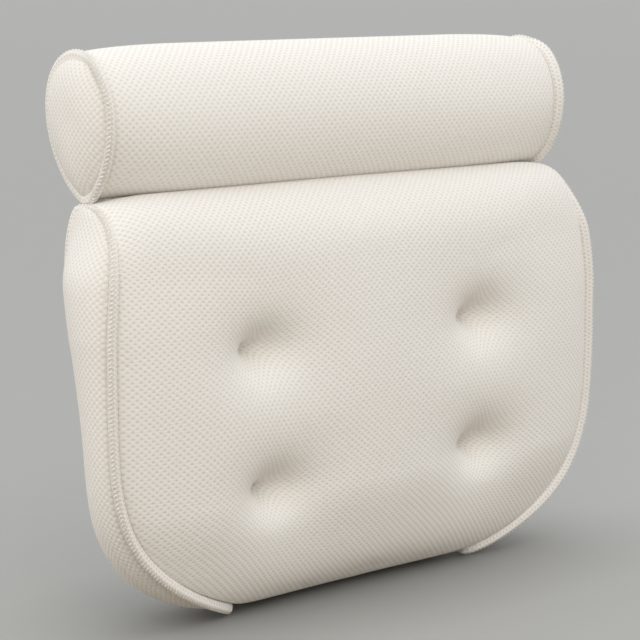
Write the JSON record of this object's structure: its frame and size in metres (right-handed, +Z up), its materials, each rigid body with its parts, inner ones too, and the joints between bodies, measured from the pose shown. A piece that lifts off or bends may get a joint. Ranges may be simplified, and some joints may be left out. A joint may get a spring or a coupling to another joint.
{
  "type": "bath pillow",
  "caption": "Mesh bath pillow: a crowned head roll joined by a sewn fold to a tufted back pad with bound side seams, held to the bath by suction cups on its back.",
  "frame": {"origin": "middle of the bounding box on the floor the pillow stands on", "axes": "+X to the right as seen from the front, -Y out of the tufted front, +Y to the suction cups, +Z up"},
  "size_m": [0.4104, 0.11, 0.332],
  "materials": {
    "mesh_cloth": "warm white 3-D spacer mesh with small staggered openings",
    "piping": "knitted binding tape, warm white",
    "filling": "open fibre filling, white",
    "thread": "twisted polyester thread",
    "webbing": "woven webbing, warm white",
    "cup": "clear soft PVC, glossy"
  },
  "bodies": {
    "pad": {"pad_front_panel": "mesh_cloth", "pad_back_panel": "mesh_cloth", "pad_left_gusset": "mesh_cloth", "pad_right_gusset": "mesh_cloth", "pad_left_piping": "piping", "pad_right_piping": "piping", "pad_core": "filling", "hinge_seam": "piping", "tuft_tie_upper_left": "thread", "tuft_tie_upper_right": "thread", "tuft_tie_lower_left": "thread", "tuft_tie_lower_right": "thread", "cup_strap_upper_left": "webbing", "cup_strap_upper_right": "webbing", "cup_strap_lower_left": "webbing", "cup_strap_lower_right": "webbing"},
    "roll": {"roll_cover": "mesh_cloth", "roll_left_end_panel": "mesh_cloth", "roll_right_end_panel": "mesh_cloth", "roll_left_piping": "piping", "roll_right_piping": "piping", "roll_core": "filling", "cup_strap_roll_left": "webbing", "cup_strap_roll_right": "webbing"},
    "cup_upper_left": {"suction_cup_upper_left": "cup"},
    "cup_upper_right": {"suction_cup_upper_right": "cup"},
    "cup_lower_left": {"suction_cup_lower_left": "cup"},
    "cup_lower_right": {"suction_cup_lower_right": "cup"},
    "cup_roll_left": {"suction_cup_roll_left": "cup"},
    "cup_roll_right": {"suction_cup_roll_right": "cup"}
  },
  "joints": [
    {"name": "roll_fold", "type": "hinge", "parent": "pad", "child": "roll", "pos_m": [0, 0.00058, 0.246], "axis": [-1, 0, 0], "range_deg": [0, 55], "stiffness_Nm_per_rad": 0.25, "springref_deg": -20.05},
    {"name": "cup_turn_upper_left", "type": "hinge", "parent": "pad", "child": "cup_upper_left", "pos_m": [-0.113, 0.023, 0.19188], "axis": [0, 0.9976, -0.0698], "continuous": true},
    {"name": "cup_turn_upper_right", "type": "hinge", "parent": "pad", "child": "cup_upper_right", "pos_m": [0.113, 0.023, 0.19188], "axis": [0, 0.9976, -0.0698], "continuous": true},
    {"name": "cup_turn_lower_left", "type": "hinge", "parent": "pad", "child": "cup_lower_left", "pos_m": [-0.113, 0.01307, 0.04994], "axis": [0, 0.9976, -0.0698], "continuous": true},
    {"name": "cup_turn_lower_right", "type": "hinge", "parent": "pad", "child": "cup_lower_right", "pos_m": [0.113, 0.01307, 0.04994], "axis": [0, 0.9976, -0.0698], "continuous": true},
    {"name": "cup_turn_roll_left", "type": "hinge", "parent": "roll", "child": "cup_roll_left", "pos_m": [-0.062, 0.03798, 0.29839], "axis": [0, 1, 0], "continuous": true},
    {"name": "cup_turn_roll_right", "type": "hinge", "parent": "roll", "child": "cup_roll_right", "pos_m": [0.062, 0.03798, 0.29839], "axis": [0, 1, 0], "continuous": true}
  ]
}
